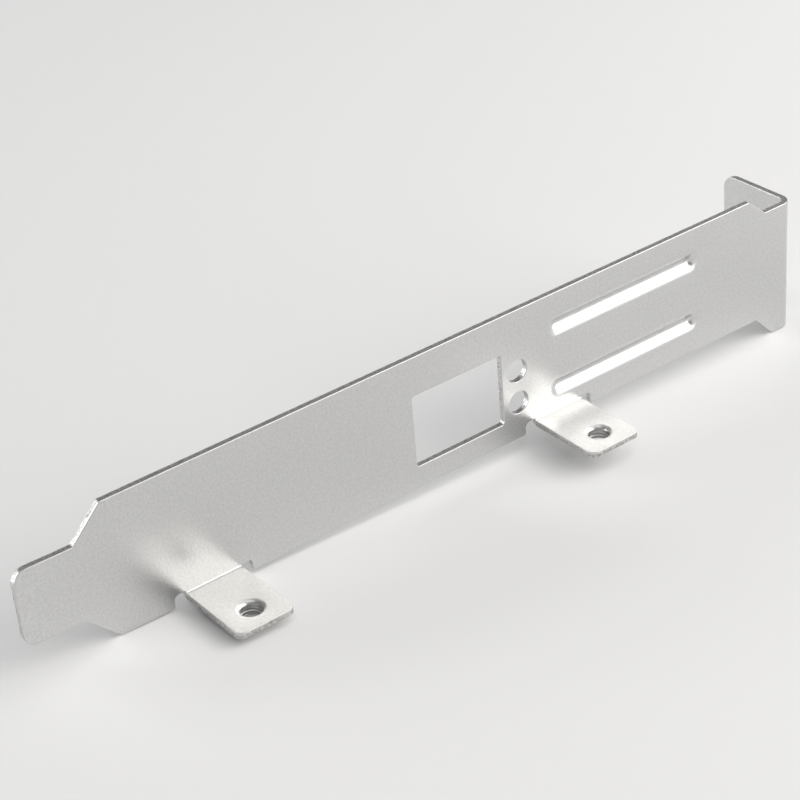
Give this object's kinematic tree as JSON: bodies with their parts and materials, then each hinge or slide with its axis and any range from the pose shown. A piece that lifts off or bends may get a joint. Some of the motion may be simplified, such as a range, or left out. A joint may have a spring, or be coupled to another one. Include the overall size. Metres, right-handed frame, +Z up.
{
  "type": "expansion card bracket",
  "caption": "Folded steel expansion card bracket with a notched screw flange, a slot tongue, tapped card tabs, a connector window, lamp holes and stiffening beads.",
  "frame": {"origin": "on the floor under the middle of the part's box, with the plate standing on its long edge", "axes": "+X along the plate from the tongue to the flange, +Y from the tab side to the flange side, +Z up across the plate"},
  "size_m": [0.12, 0.0232, 0.0216],
  "materials": {
    "plated_steel": "satin nickel plate"
  },
  "bodies": {
    "root": {"card_bracket": "plated_steel"}
  },
  "joints": []
}
